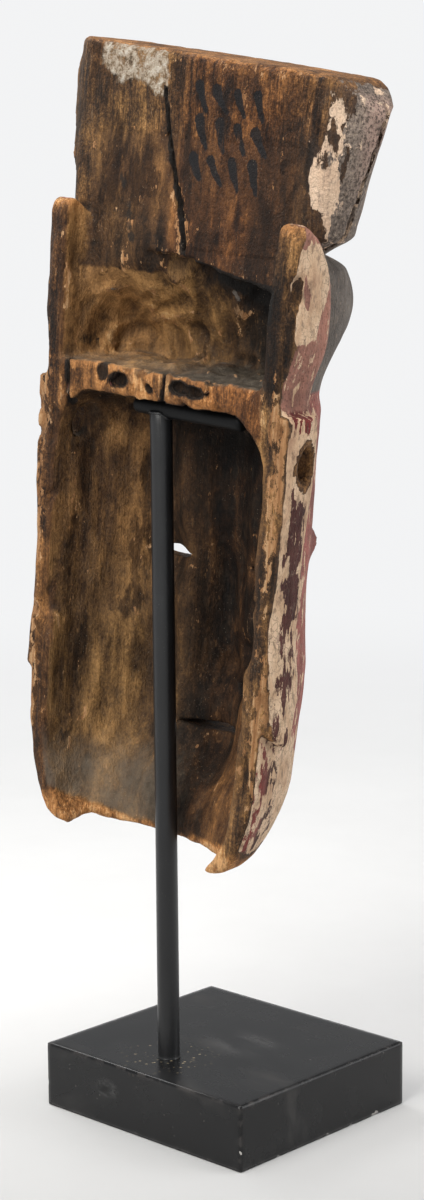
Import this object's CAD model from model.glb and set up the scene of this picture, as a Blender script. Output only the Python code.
import bmesh, bpy, math
import numpy as np
from mathutils import Matrix, Vector


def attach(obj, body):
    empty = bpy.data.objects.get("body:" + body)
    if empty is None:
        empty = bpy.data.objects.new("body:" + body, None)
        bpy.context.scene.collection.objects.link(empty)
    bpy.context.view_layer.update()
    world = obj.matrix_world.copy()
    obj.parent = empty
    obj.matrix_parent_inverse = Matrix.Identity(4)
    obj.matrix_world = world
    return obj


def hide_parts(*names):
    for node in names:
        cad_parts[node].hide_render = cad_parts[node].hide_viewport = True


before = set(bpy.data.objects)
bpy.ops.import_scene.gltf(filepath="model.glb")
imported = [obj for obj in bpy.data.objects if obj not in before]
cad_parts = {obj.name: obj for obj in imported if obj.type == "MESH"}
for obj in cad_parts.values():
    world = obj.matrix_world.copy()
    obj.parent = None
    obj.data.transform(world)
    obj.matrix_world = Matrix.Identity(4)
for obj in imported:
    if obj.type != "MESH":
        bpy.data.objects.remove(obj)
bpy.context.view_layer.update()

MM = 0.001

# =====================================================================
# The carved mask: the same sizes as the solid, in its own u (its left),
# v (back) and w (up), millimetres, then placed on the stand.
# =====================================================================
PLACE = np.array([-7.1, 55.0, 428.5])
LEAN, ROLL = math.radians(1.28), math.radians(4.57)
RX = np.array([[1, 0, 0], [0, math.cos(LEAN), -math.sin(LEAN)], [0, math.sin(LEAN), math.cos(LEAN)]])
RY = np.array([[math.cos(ROLL), 0, -math.sin(ROLL)], [0, 1, 0], [math.sin(ROLL), 0, math.cos(ROLL)]])
TURN = RX @ RY

FACE_HALF, FACE_DEPTH, ROUND = 89.0, 76.0, 2.35
FOOT, JAW_TOP, JAW_IN, CHIN_TUCK = -266.0, -165.0, 30.0, 32.0
DOME_HALF, DOME_OUT, DOME_MID, DOME_SPAN, BODY_TOP = 86.0, 33.0, 42.0, 48.0, 79.0
SHELF_T = 16.5
HOLLOW_HALF, HOLLOW_DEPTH, HOLLOW_FILLET, HOLLOW_COVE, CHIN_HOLLOW = 78.0, 60.0, 34.0, 20.0, 34.0
NOTCH_HALF, NOTCH_RISE, FOOT_DEEP = 48.0, 12.0, 6.0
RECESS_HALF, PANEL_V = 75.5, -16.0
POCKET_HALF, POCKET_TOP = 73.0, 60.0
LEAF_IN, LEAF_OUT, LEAF_TOP = 74.0, 92.5, 87.0
EAR_IN, EAR_OUT, EAR_TOP, EAR_LOBE = 80.0, 93.6, -12.0, -190.0
TIE_W, TIE_V, TIE_RV, TIE_RW = -38.0, -16.5, 5.2, 8.0
CROWN_BASE, CROWN_MID, CROWN_SLOPE = 46.0, 167.0, 0.075
NECK_W, WING_W = 68.0, 81.0
NECK_HALF, WING_HALF, WING_TOP, LEFT_HALF = 77.0, 90.0, 107.0, 95.0
FLUTE_PITCH, FLUTE_DEEP = 31.0, 3.2

HAIRLINE, CHIN = 0.0, -262.0
THIRD = (HAIRLINE - CHIN) / 3
BROW_W = HAIRLINE - THIRD
NOSE_W = BROW_W - THIRD
EYE_W = BROW_W - 0.23 * THIRD
MOUTH_W = NOSE_W - THIRD / 3
EYE_LONG = 2 * FACE_HALF / 5
EYE_U = EYE_LONG
MOUTH_HALF = 0.75 * EYE_LONG


def clamp(x, a=0.0, b=1.0):
    return np.clip(x, a, b)


def ease(a, b, x):
    t = np.clip((x - a) / (b - a), 0, 1)
    return t * t * (3 - 2 * t)


def bell(x, c, s):
    return np.exp(-(((x - c) / s) ** 2))


def smin(a, b, k):
    h = np.clip(0.5 + 0.5 * (b - a) / k, 0, 1)
    return b + (a - b) * h - k * h * (1 - h)


def smax(a, b, k):
    return -smin(-a, -b, k)


def cell(i, j, k, seed):
    h = (i * 374761393 + j * 668265263 + k * 1440662683 + seed * 1274126177) & 0xFFFFFFFF
    h = ((h ^ (h >> 13)) * 1274126177) & 0xFFFFFFFF
    h = ((h ^ (h >> 16)) * 2246822519) & 0xFFFFFFFF
    return ((h ^ (h >> 15)) & 0xFFFFFF) / float(0xFFFFFF) * 2 - 1


def vnoise(x, y, z, seed=0):
    """Smooth noise, about -1 to 1, one lump per unit."""
    xi, yi, zi = np.floor(x), np.floor(y), np.floor(z)
    fx, fy, fz = x - xi, y - yi, z - zi
    fx, fy, fz = (f * f * (3 - 2 * f) for f in (fx, fy, fz))
    xi, yi, zi = (a.astype(np.int64) for a in (xi, yi, zi))
    out = 0.0
    for a in (0, 1):
        wa = fx if a else 1 - fx
        for b in (0, 1):
            wb = wa * (fy if b else 1 - fy)
            for c in (0, 1):
                out = out + wb * (fz if c else 1 - fz) * cell(xi + a, yi + b, zi + c, seed)
    return out


def fbm(x, y, z, octaves=3, seed=0):
    total, amp, out = 0.0, 1.0, 0.0
    for o in range(octaves):
        f = 2.03 ** o
        out = out + amp * vnoise(x * f + 17.3 * o, y * f - 9.1 * o, z * f + 4.7 * o, seed + o)
        total += amp
        amp *= 0.5
    return out / total


def scoops(x, y, z, seed):
    """Overlapping gouge bites: 0 in the middle of each bite, about 1 on the ridge where bites meet."""
    xi, yi, zi = (np.floor(a).astype(np.int64) for a in (x, y, z))
    best = np.full(x.shape, 9.0)
    for a in (-1, 0, 1):
        for b in (-1, 0, 1):
            for c in (-1, 0, 1):
                i, j, k = xi + a, yi + b, zi + c
                d = ((i + 0.5 + 0.38 * cell(i, j, k, seed) - x) ** 2 + (j + 0.5 + 0.38 * cell(i, j, k, seed + 1) - y) ** 2
                     + (k + 0.5 + 0.38 * cell(i, j, k, seed + 2) - z) ** 2)
                best = np.minimum(best, d)
    return np.clip(best / 0.6, 0, 1.4)


def bend(p0, pc, p1, n):
    return [tuple((1 - t) ** 2 * p0[i] + 2 * t * (1 - t) * pc[i] + t * t * p1[i] for i in (0, 1))
            for t in (k / n for k in range(1, n + 1))]


def outline(start, *parts):
    pts = [start]
    for part in parts:
        if len(part) == 2 and not isinstance(part[0], tuple):
            pts.append(part)
        else:
            pts += bend(pts[-1], part[0], part[1], 9)
    if pts[-1] == pts[0]:
        pts.pop()
    return pts


LEAF = outline((-24.0, -9.0), ((-4.0, -13.0), (0.0, -9.0)), (0.0, LEAF_TOP - 9), ((-1.0, LEAF_TOP), (-8.0, LEAF_TOP - 1)),
               ((-27.0, LEAF_TOP - 12), (-32.0, 56.0)), ((-38.0, 30.0), (-24.0, -9.0)))
EAR = outline((0.0, EAR_LOBE + 12), (0.0, EAR_TOP), (-24.0, EAR_TOP), ((-31.0, EAR_TOP - 12), (-27.0, EAR_TOP - 42)),
              ((-23.0, -110.0), (-29.0, -158.0)), ((-28.0, EAR_LOBE + 8), (-17.0, EAR_LOBE)), ((-8.0, EAR_LOBE + 4), (0.0, EAR_LOBE + 12)))


def poly_sdf(x, y, pts):
    d = np.full(x.shape, 1e9)
    inside = np.zeros(x.shape, bool)
    for i in range(len(pts)):
        ax, ay = pts[i]
        bx, by = pts[(i + 1) % len(pts)]
        ex, ey = bx - ax, by - ay
        px, py = x - ax, y - ay
        t = np.clip((px * ex + py * ey) / (ex * ex + ey * ey + 1e-12), 0, 1)
        d = np.minimum(d, (px - ex * t) ** 2 + (py - ey * t) ** 2)
        if abs(by - ay) > 1e-9:
            inside ^= ((ay > y) != (by > y)) & (x < ex * py / ey + ax)
    d = np.sqrt(d)
    return np.where(inside, -d, d)


def line_sdf(x, y, pts):
    """Distance to a polyline."""
    d = np.full(x.shape, 1e9)
    for (ax, ay), (bx, by) in zip(pts[:-1], pts[1:]):
        ex, ey = bx - ax, by - ay
        t = np.clip(((x - ax) * ex + (y - ay) * ey) / (ex * ex + ey * ey + 1e-12), 0, 1)
        d = np.minimum(d, (x - ax - ex * t) ** 2 + (y - ay - ey * t) ** 2)
    return np.sqrt(d)


def body_half(w):
    t = clamp((JAW_TOP - w) / (JAW_TOP - FOOT))
    jaw = FACE_HALF - JAW_IN * (1 - np.sqrt(1 - t ** 3))
    return jaw + (DOME_HALF - FACE_HALF) * ease(-14, -4, w) - 14 * ease(60, 80, w)


def body_depth(w):
    chin = FACE_DEPTH - CHIN_TUCK * ease(-215, -285, w) * 1.1
    x = clamp((w - DOME_MID) / DOME_SPAN, -1, 1)
    return chin + DOME_OUT * np.cos(np.pi / 2 * x) ** 2 - 30 * ease(60, 80, w)


def face_relief(u, w):
    s = np.abs(u)
    drop = clamp((BROW_W - 4 - w) / (BROW_W - 4 - (NOSE_W + 11)))
    nose_h = (5 + 21 * drop) * ease(BROW_W + 12, BROW_W - 8, w) * (1 - ease(NOSE_W + 9, NOSE_W - 3, w))
    nose = nose_h * np.exp(-((s / (7.0 + 5.5 * drop)) ** 2.4))
    wing = 9 * bell(s, 12.5, 6.0) * bell(w, NOSE_W + 9, 8.0)
    crease = -2.2 * bell(s - 19 - 0.10 * (NOSE_W + 8 - w), 0, 2.6) * ease(NOSE_W + 16, NOSE_W + 4, w) * ease(MOUTH_W - 4, NOSE_W - 8, w)
    arch = BROW_W + 5 - 0.006 * (s - 34) ** 2
    brow = 5.5 * bell(w, arch, 7.5) * ease(4, 14, s) * (1 - ease(60, 74, s))
    hair = 0.7 * np.cos((s - 0.55 * (w - arch)) * 1.9) * bell(w, arch, 5.5) * ease(9, 16, s) * (1 - ease(58, 68, s))
    socket = -8.5 * bell(s, EYE_U, 23) * bell(w, EYE_W + 1, 14)
    x = (s - EYE_U) / (0.5 * EYE_LONG)
    open_ = clamp(1 - x * x)
    ball = 8.8 * bell(s, EYE_U, 15.5) * bell(w, EYE_W - 1, 8.5)
    lid_u = 1.9 * bell(w, EYE_W - 1.5 + 6.4 * open_, 1.7) * ease(1.25, 0.95, np.abs(x))
    lid_l = 1.4 * bell(w, EYE_W - 1.5 - 5.6 * open_, 1.6) * ease(1.2, 0.9, np.abs(x))
    fold = -1.2 * bell(w, EYE_W + 1.5 + 8.6 * open_, 1.5) * ease(1.3, 0.9, np.abs(x))
    cheek = 5 * bell(s, 47, 24) * bell(w, NOSE_W + 14, 28)
    phil = (-1.6 * bell(s, 0, 3.2) + 0.9 * bell(s, 6, 2.6)) * ease(NOSE_W - 3, NOSE_W - 9, w) * ease(MOUTH_W + 8, MOUTH_W + 13, w)
    bow = MOUTH_W + 5.2 + 1.6 * bell(s, 6.5, 5) - 1.2 * bell(s, 0, 3.4)
    lip_t = 6.2 * bell(w, bow, 4.6) * (1 - ease(0.55, 1.06, s / MOUTH_HALF))
    lip_l = 7.2 * bell(w, MOUTH_W - 7.5, 5.6) * (1 - ease(0.45, 0.98, s / MOUTH_HALF))
    corner = -1.8 * bell(s, MOUTH_HALF + 1.5, 4.5) * bell(w, MOUTH_W, 5)
    under = -3 * bell(w, MOUTH_W - 19, 6) * bell(u, 0, 26)
    chin = 8 * bell(u, 0, 24) * bell(w, CHIN + 22, 15)
    return nose + wing + crease + brow + hair + socket + ball + lid_u + lid_l + fold + cheek + phil + lip_t + lip_l + corner + under + chin


def brim_relief(s, w):
    band = 5.5 * (ease(-23, -20, w) - ease(-4, -1, w)) * (1 - ease(42, 60, s))
    groove = -1.6 * (bell(w, -18.0, 1.1) + bell(w, -6.0, 1.1)) * (1 - ease(40, 56, s))
    return band + groove


def plain_radius(sn, cs, a, b):
    return ((np.abs(sn) / a) ** ROUND + (np.abs(cs) / b) ** ROUND) ** (-1 / ROUND)


def f_body(u, v, w):
    wc = np.clip(w, FOOT, BODY_TOP)
    a, b = body_half(wc), body_depth(wc)
    vn = np.minimum(v, -0.001)
    r = np.hypot(u, vn) + 1e-9
    sn, cs = u / r, -vn / r
    r0 = plain_radius(sn, cs, a, b)
    u0 = r0 * sn
    f = r - r0 - face_relief(u0, w) - brim_relief(np.abs(u0), w)
    f = smax(f, v, 4.0)
    return np.maximum(f, np.maximum(w - BODY_TOP, FOOT - 3 - w))


def f_leaf(u, v, w):
    s = np.abs(u)
    out = LEAF_OUT - 7 * (1 - ease(-9, 28, w)) - 1.2 * ease(-14, -34, v) + 1.2 * bell(v, -14, 12)
    return smax(poly_sdf(v, w, LEAF), np.maximum(s - out, LEAF_IN - s), 6.0)


def f_ear(u, v, w):
    s = np.abs(u)
    out = EAR_OUT - 4 * bell(w, -118, 42) - 1.5 * ease(-18, -30, v) + 1.6 * bell(v, -13, 9)
    return smax(poly_sdf(v, w, EAR), np.maximum(s - out, EAR_IN - s), 4.0)


def crown_sizes(w):
    s = clamp((w - CROWN_BASE) / (CROWN_MID - CROWN_BASE))
    wing, rise = ease(NECK_W - 1, WING_W, w), clamp((w - WING_W) / 66)
    half_r = NECK_HALF + (WING_HALF - NECK_HALF) * wing + (WING_TOP - WING_HALF) * rise - 5 * ease(0.86, 1, s)
    half_l = NECK_HALF + (LEFT_HALF - NECK_HALF) * wing + (WING_TOP - LEFT_HALF) * rise - 3 * ease(0.9, 1, s)
    v_r, v_l = -(30 + 7 * wing + 9 * rise), -(30 - 10 * wing + 12 * rise)
    return s, wing, rise, half_r, half_l, v_r, v_l, 69 + 17 * wing - 8 * rise


def crown_top(u):
    return CROWN_MID + CROWN_SLOPE * u - 13 * ease(-86, -108, u)


def f_crown(u, v, w):
    s, wing, rise, hr, hl, vr, vl, depth = crown_sizes(w)
    vb = PANEL_V - 6 * s
    left = np.minimum(90.0, hl + 2.5)
    right = np.minimum(91 + 8 * ease(80, 135, w), hr + 2.5)
    t = clamp((u + hr) / (hr + hl), -0.3, 1.3)
    x = np.abs(2 * t - 1)
    v0 = vr + (vl - vr) * clamp(t)
    xc = clamp(x)
    flute = FLUTE_DEEP * np.abs(np.cos(np.pi * u / FLUTE_PITCH)) * ease(0.32, 0.4, s) * (1 - ease(0.78, 0.86, s))
    border = 4 * ease(0.80, 0.84, s) - 1.5 * bell(s, 0.93, 0.012)
    out = (flute + border) * (1 - xc ** 6)
    deep = depth + v0
    y = clamp((v0 - out - v) / deep, 0, 3)
    g = (x ** 2.6 + y ** (1 / 0.6)) ** (1 / 2.0) - 1
    front = np.where(v < v0, g * np.minimum(deep, 60.0), -50.0)
    # sloping side faces behind the front corners
    def side(px, py, qx, qy, sign):
        dx, dy = qx - px, qy - py
        ln = np.sqrt(dx * dx + dy * dy)
        return sign * ((u - px) * dy - (v - py) * dx) / ln
    sr = side(-right, vb - 2.5, -hr, vr, 1.0) - 1.0 * wing
    sl = side(left + 1.0, vb, hl + 1.0, np.minimum(vl, vb - 6), -1.0)
    f = np.maximum(front, v - vb)
    sides = np.maximum(np.where(v > v0 - 4, sr, -50.0), np.where(v > v0 - 4, sl, -50.0))
    f = smax(np.maximum(front, -60.0), v - vb, 3.0)
    f = smax(f, sides, 3.0 + 17.0 * ease(0, -85, u))
    f = smax(f, w - crown_top(u), 5.0)
    return np.maximum(f, CROWN_BASE - w)


def f_hollow(u, v, w):
    below = np.maximum(-SHELF_T - w, 0) + 2
    def cove(r):
        k = np.minimum(below, r)
        return r - np.sqrt(np.maximum(0, r * r - (r - k) ** 2))
    wc = np.clip(w, FOOT - 5, 0)
    jaw = body_half(np.maximum(wc, FOOT)) - FACE_HALF
    a = HOLLOW_HALF - cove(HOLLOW_FILLET) + 0.92 * jaw - 3 * ease(-140, -152, w)
    b = HOLLOW_DEPTH - cove(HOLLOW_COVE) - (HOLLOW_DEPTH - CHIN_HOLLOW) * ease(-190, -258, w)
    # gouged channels, a deeper nose trough and small scooped hollows
    b = b + 10 * bell(u, 2, 14) * ease(BROW_W + 8, BROW_W - 30, w) * ease(NOSE_W - 20, NOSE_W + 6, w)
    band = np.cos(u / 8.3 + 0.5 * np.sin(w / 41.0) + 0.9)
    b = b + 4.2 * np.sign(band) * np.abs(band) ** 0.8 * ease(-22, -45, w) * ease(-262, -215, w)
    b = b + 9 * bell(u, -26, 11) * bell(w, -157, 9) + 6 * bell(u, -19, 6) * bell(w, -180, 5) + 4 * bell(u, -5, 6) * bell(w, -168, 5)
    b = b - 3.5 * bell(u, 18, 11) * bell(w, -150, 34)
    # plain scoops behind the eyes, cheeks and chin
    sc = np.abs(u)
    b = b + 6 * bell(sc, EYE_U + 2, 17) * bell(w, EYE_W - 2, 15) - 4.5 * bell(sc, 52, 12) * bell(w, NOSE_W + 22, 26)
    b = b + 7 * bell(u, 0, 26) * bell(w, -214, 15) - 4 * bell(sc, 30, 12) * bell(w, -196, 22)
    vn = np.minimum(v, -0.001)
    r = np.hypot(u, vn) + 1e-9
    r0 = plain_radius(u / r, -vn / r, a, b)
    f = np.where(v < 0, r - r0, np.abs(u) - a)
    return np.maximum(f, w + SHELF_T)


def panel_back(w):
    return PANEL_V - 6 * clamp((w - CROWN_BASE) / (CROWN_MID - CROWN_BASE))


def f_recess(u, v, w):
    s = np.abs(u)
    f = smax(s - RECESS_HALF - 2.0 * ease(20, 80, w), panel_back(w) - v, 9.0)
    return smax(f, -w, 4.0)


def f_pocket(u, v, w):
    s = np.abs(u)
    # the roof is deep at the mask's right and runs out to nothing at its left
    roof = 19 + 35 * ease(46, -40, u)
    deep = roof + (54 - roof) * ease(60, 14, w) - 8 * (s / POCKET_HALF) ** 3
    f = smax(s - POCKET_HALF, -deep - v, 20.0)
    f = smax(f, w - POCKET_TOP - 3 + 12 * ease(25, -62, u), 5.0)
    f = smax(f, -w, 5.0)
    return smax(f, v - 30, 4.0)


def f_tie(u, v, w):
    s = np.abs(u)
    grow = 1 + 0.28 * ease(86, 96, s) + 0.5 * ease(77, 70, s)
    rv, rw = TIE_RV * grow, TIE_RW * grow
    f = (np.sqrt(((v - TIE_V) / rv) ** 2 + ((w - TIE_W) / rw) ** 2) - 1) * rv
    return np.maximum(f, 62 - s)


def f_slits(u, v, w):
    s = np.abs(u)
    half = 0.42 * EYE_LONG
    x = (s - EYE_U) / half
    y = w - (EYE_W - 1.5)
    eye = np.maximum(y - 3.4 * (1 - x * x), -y - 3.0 * (1 - x * x))
    xm = s / (0.78 * MOUTH_HALF)
    ym = w - (MOUTH_W - 0.5)
    mouth = np.maximum(ym - 2.4 * (1 - xm * xm), -ym - 2.6 * (1 - xm * xm))
    return np.maximum(np.minimum(eye, mouth), v + 22)


CRACK = [(27.5, 149), (26.6, 144), (24.6, 133), (20.2, 117), (16.4, 104), (11.6, 91), (7.9, 80), (5.2, 70), (4.4, 64)]
CRACK_W = (64.0, 149.0)


def f_carve(u, v, w):
    """Old damage cut into the back: the long split, knots and holes in the shelf's edge."""
    d = line_sdf(u, w, CRACK)
    t = clamp((w - CRACK_W[0]) / (CRACK_W[1] - CRACK_W[0]))
    half = 0.7 + 1.1 * np.sin(np.pi * clamp(t * 0.96 + 0.02)) ** 0.8 + 0.55 * vnoise(u / 5, w / 9, v * 0, 31) + 0.8 * vnoise(u / 3, w / 3.2, v * 0, 32) + 0.9 * bell(w, 93, 20)
    crack = np.maximum(d - half * clamp((v + 31) / 14, 0.15, 1.0), -(v + 31))
    crack = np.maximum(crack, np.maximum(CRACK_W[0] - w, w - CRACK_W[1]))
    f = crack
    for (cu, cw, ru, rw, dp) in ((43.2, -5.0, 3.8, 5.2, 2.2), (30.0, -7.5, 6.2, 3.6, 6.5), (34.5, -10.0, 4.2, 2.6, 5.0),
                                 (8.7, -10.0, 2.3, 2.5, 5.0), (-15.5, -6.6, 6.4, 3.3, 5.0), (-26.0, -7.6, 7.2, 2.7, 6.0)):
        e = (np.sqrt(((u - cu) / ru) ** 2 + ((w - cw) / rw) ** 2) - 1) * min(ru, rw)
        f = np.minimum(f, smax(e, -(v + dp), 2.0))
    split = np.maximum(np.abs(u + 4.0 + 0.05 * w) - 0.9, np.maximum(-(v + 5), np.maximum(w, -w - 17)))
    f = np.minimum(f, split)
    gap = np.abs(u - 71.5 - 0.10 * w - 0.8 * np.sin(w / 4)) - 1.0
    gap = np.maximum(gap, np.maximum(-(v + 6), np.maximum(w - 6, -w - 30)))
    return np.minimum(f, gap)


def f_low(u, v, w):
    chin_edge = FOOT + NOTCH_RISE + 0.42 * v + 1.2 * vnoise(u / 6, v * 0, v * 0, 71)
    chin_edge = np.maximum(chin_edge, FOOT)
    foot_edge = FOOT - 1.0 - 0.16 * np.minimum(v, 0)
    k = ease(NOTCH_HALF + 2, NOTCH_HALF + 7, np.abs(u))
    return w - (chin_edge + (foot_edge - chin_edge) * k)


STUDS = []
for k in range(5):
    p_ = math.radians((k - 2) * 13)
    a_, b_ = float(body_half(np.float64(-12))), float(body_depth(np.float64(-12)))
    r_ = float(plain_radius(math.sin(p_), math.cos(p_), a_, b_)) + 5
    STUDS.append((r_ * math.sin(p_), -r_ * math.cos(p_), -12.0))


STROKES = []
for row in range(3):                       # rows of plain slanting strokes, no writing
    for k in range(4):
        cu = 0.5 - 14.0 * k - 2.0 * (row % 2)
        cw = 145.0 - 18.5 * row + 0.08 * cu
        lean = 3.0 + 1.2 * math.sin(3.1 * row + 1.7 * k)
        tall = 6.4 + 1.0 * math.sin(2.3 * row - 1.1 * k)
        STROKES.append(([(cu + lean, cw + tall), (cu + 0.2 * lean, cw + 0.5), (cu - lean, cw - tall)],
                        3.3 + 0.5 * math.sin(row + 2.0 * k), 1.5))


def f_strokes(u, w):
    out = np.full(u.shape, 9.0)
    for pts, h0, h1 in STROKES:
        for k in range(2):
            a, b = pts[k], pts[k + 1]
            ex, ey = b[0] - a[0], b[1] - a[1]
            t = np.clip(((u - a[0]) * ex + (w - a[1]) * ey) / (ex * ex + ey * ey), 0, 1)
            out = np.minimum(out, np.hypot(u - a[0] - ex * t, w - a[1] - ey * t) - (h0 + (h1 - h0) * (k + t) / 2))
    return out


def field(u, v, w):
    f = f_body(u, v, w)
    m = (np.abs(u) > 62) & (w > -26)
    if m.any():
        f[m] = smin(f[m], f_leaf(u[m], v[m], w[m]), 4.0)
    m = (np.abs(u) > 68) & (w < 2) & (w > -205)
    if m.any():
        f[m] = smin(f[m], f_ear(u[m], v[m], w[m]), 1.6)
    m = w > CROWN_BASE - 6
    if m.any():
        f[m] = smin(f[m], f_crown(u[m], v[m], w[m]), 0.05 + 3.0 * ease(-24, -36, v[m]))
    m = (v < -60) & (np.abs(u) < 40) & (w > 80)
    if m.any():
        x, y, z = u[m] / 19, (v[m] + 88) / 11, (w[m] - 112) / 19
        q = np.sqrt(x * x + y * y + z * z)
        ring = np.hypot(u[m], w[m] - 112)
        f[m] = smin(f[m], (q - 1) * 11 + 1.2 * bell(ring, 11.5, 1.3), 1.5)
    m = (v < -55) & (w > -22) & (w < -2)
    if m.any():
        for c in STUDS:
            d = np.sqrt((u[m] - c[0]) ** 2 + (v[m] - c[1]) ** 2 + (w[m] - c[2]) ** 2) - 5.4
            f[m] = smin(f[m], d, 1.0)
    # hand-carved unevenness of the outside
    f = f + 0.55 * vnoise(u / 26, v / 26, w / 38, 3) + 0.22 * vnoise(u / 5, v / 5, w / 8, 13)
    inner = f_hollow(u, v, w) + 0.7 * vnoise(u / 9, v / 9, w / 34, 5) + 0.35 * vnoise(u / 4.2, v / 4.2, w / 15, 6)
    m = (np.abs(inner) < 9) & (w < -16)
    if m.any():
        inner[m] = inner[m] + (1.9 * scoops(u[m] / 13 + 0.25 * np.sin(w[m] / 31), v[m] / 15, w[m] / 46, 51) - 0.6) * ease(-262, -235, w[m]) * ease(-26, -62, w[m])
    f = smax(f, -inner, 4.0)
    m = (w > -8) & (w < 140) & (v > -70)
    if m.any():
        # chisel marks: overlapping curved strokes, fading up the panel
        wx = u[m] / 13 + 0.9 * vnoise(u[m] / 22, v[m] / 22, w[m] / 22, 8)
        wz = w[m] / 13 + 0.9 * vnoise(u[m] / 22, v[m] / 22, w[m] / 22, 18)
        n1 = vnoise(wx, v[m] / 13, wz, 7)
        n2 = np.abs(vnoise(wx * 1.9, v[m] / 9, wz * 1.5, 17))
        low_ = ease(80, 55, w[m])
        rec = f_recess(u[m], v[m], w[m]) + (0.3 + 0.3 * low_) * n1 + 0.4 * vnoise(u[m] / 4, v[m] / 9, w[m] / 26, 9)
        poc = f_pocket(u[m], v[m], w[m]) + 1.2 * n1 + 0.8 * n2
        k = np.abs(poc) < 9
        if k.any():
            poc[k] = poc[k] + 3.2 * scoops(wx[k] * 0.95, v[m][k] / 16, wz[k] * 0.75 + 0.4 * wx[k], 57) - 0.8
        f[m] = smax(f[m], -smin(rec, poc, 3.0), 2.2)
    m = (v > -36) & (np.abs(u) < 80) & (w > -34)
    if m.any():
        f[m] = smax(f[m], -f_carve(u[m], v[m], w[m]), 1.0)
    m = (v > -30) & (u < 14) & (u > -56) & (w > 92) & (w < 160)
    if m.any():
        f[m] = f[m] + 0.45 * ease(0.6, -0.8, f_strokes(u[m], w[m]))
    m = (np.abs(u) > 58) & (w < -18) & (w > -60)
    if m.any():
        f[m] = smax(f[m], -f_tie(u[m], v[m], w[m]), 1.8)
    m = (w < -90) & (v < -10)
    if m.any():
        f[m] = smax(f[m], -f_slits(u[m], v[m], w[m]), 1.2)
    m = w < -235
    if m.any():
        low = f_low(u[m], v[m], w[m]) + 0.9 * vnoise(u[m] / 7, v[m] / 7, w[m] / 20, 12)
        f[m] = smax(f[m], low * -1.0, 7.0)
    # broken, chipped and rounded arrises on the back of the rim and panel
    m = v > -26
    if m.any():
        chip = fbm(u[m] / 9, v[m] / 9, w[m] / 16, 2, 21)
        f[m] = f[m] + 2.3 * ease(0.2, 0.7, chip) * ease(-14, 0, v[m]) + 0.45 * vnoise(u[m] / 3.3, v[m] / 6, w[m] / 19, 22)
    return f


def surface_nets(F, lo, h):
    """Closed quads on the zero level of F sampled on a grid of step h."""
    S = F < 0
    nx, ny, nz = F.shape
    c = np.zeros((nx - 1, ny - 1, nz - 1), np.int8)
    for a in (0, 1):
        for b in (0, 1):
            for d in (0, 1):
                c += S[a:nx - 1 + a, b:ny - 1 + b, d:nz - 1 + d]
    act = (c > 0) & (c < 8)
    I, J, K = np.nonzero(act)
    ids = -np.ones(act.shape, np.int64)
    ids[I, J, K] = np.arange(len(I))
    acc = np.zeros((len(I), 3))
    cnt = np.zeros(len(I))
    corners = [(a, b, d) for a in (0, 1) for b in (0, 1) for d in (0, 1)]
    for p in corners:
        for ax in range(3):
            if p[ax]:
                continue
            q = list(p)
            q[ax] = 1
            A = F[I + p[0], J + p[1], K + p[2]]
            B = F[I + q[0], J + q[1], K + q[2]]
            hit = (A < 0) != (B < 0)
            t = np.where(hit, A / np.where(hit, A - B, 1), 0)
            for e in range(3):
                acc[:, e] += np.where(hit, p[e] + (t if e == ax else 0), 0)
            cnt += hit
    V = (acc / cnt[:, None] + np.stack([I, J, K], 1)) * h + lo
    quads = []
    for ax in range(3):
        sl0 = [slice(1, -1)] * 3
        sl0[ax] = slice(0, -1)
        sl1 = list(sl0)
        sl1[ax] = slice(1, None)
        A, B = S[tuple(sl0)], S[tuple(sl1)]
        X = np.stack(np.nonzero(A != B), 1)
        off = np.ones(3, int)
        off[ax] = 0
        X = X + off
        inside_first = S[X[:, 0], X[:, 1], X[:, 2]]
        b_, c_ = (ax + 1) % 3, (ax + 2) % 3
        def at(db, dc):
            Y = X.copy()
            Y[:, b_] += db
            Y[:, c_] += dc
            return ids[Y[:, 0], Y[:, 1], Y[:, 2]]
        q = np.stack([at(-1, -1), at(0, -1), at(0, 0), at(-1, 0)], 1)
        q[~inside_first] = q[~inside_first][:, ::-1]
        quads.append(q)
    return V, np.concatenate(quads)


def linear_up(C, n):
    """Doubles a coarse grid's resolution by straight interpolation."""
    for ax in range(3):
        x = np.arange(n[ax]) / 2.0
        i = np.minimum(x.astype(int), C.shape[ax] - 2)
        t = x - i
        sh = [1, 1, 1]
        sh[ax] = -1
        t = t.reshape(sh)
        C = np.take(C, i, ax) * (1 - t) + np.take(C, i + 1, ax) * t
    return C


def build_mask(h):
    lo = np.array([-117.0, -119.0, -272.0])
    hi = np.array([115.0, 6.0, 182.0])
    n = (np.ceil((hi - lo) / (2 * h)).astype(int)) * 2 + 1
    ax = [lo[i] + h * np.arange(n[i]) for i in range(3)]
    cu, cv, cw = np.meshgrid(ax[0][::2], ax[1][::2], ax[2][::2], indexing="ij")
    C = field(cu.ravel(), cv.ravel(), cw.ravel()).reshape(cu.shape)
    F = linear_up(C, n)
    band = np.nonzero((np.abs(F) < 3.0 * h).ravel())[0]
    iu, iv, iw = np.unravel_index(band, F.shape)
    F.ravel()[band] = field(ax[0][iu], ax[1][iv], ax[2][iw])
    V, Q = surface_nets(F, lo, h)
    for _ in range(3):                                  # settle the points on the surface
        f0 = field(V[:, 0].copy(), V[:, 1].copy(), V[:, 2].copy())
        e = 0.25
        G = np.stack([field(V[:, 0] + e * (k == 0), V[:, 1] + e * (k == 1), V[:, 2] + e * (k == 2)) - f0 for k in range(3)], 1) / e
        g2 = np.maximum((G * G).sum(1), 0.15)
        step = -(f0 / g2)[:, None] * G
        ln = np.linalg.norm(step, axis=1, keepdims=True)
        V = V + step * np.minimum(1, 0.45 * h / np.maximum(ln, 1e-9))
    return V, Q


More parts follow.
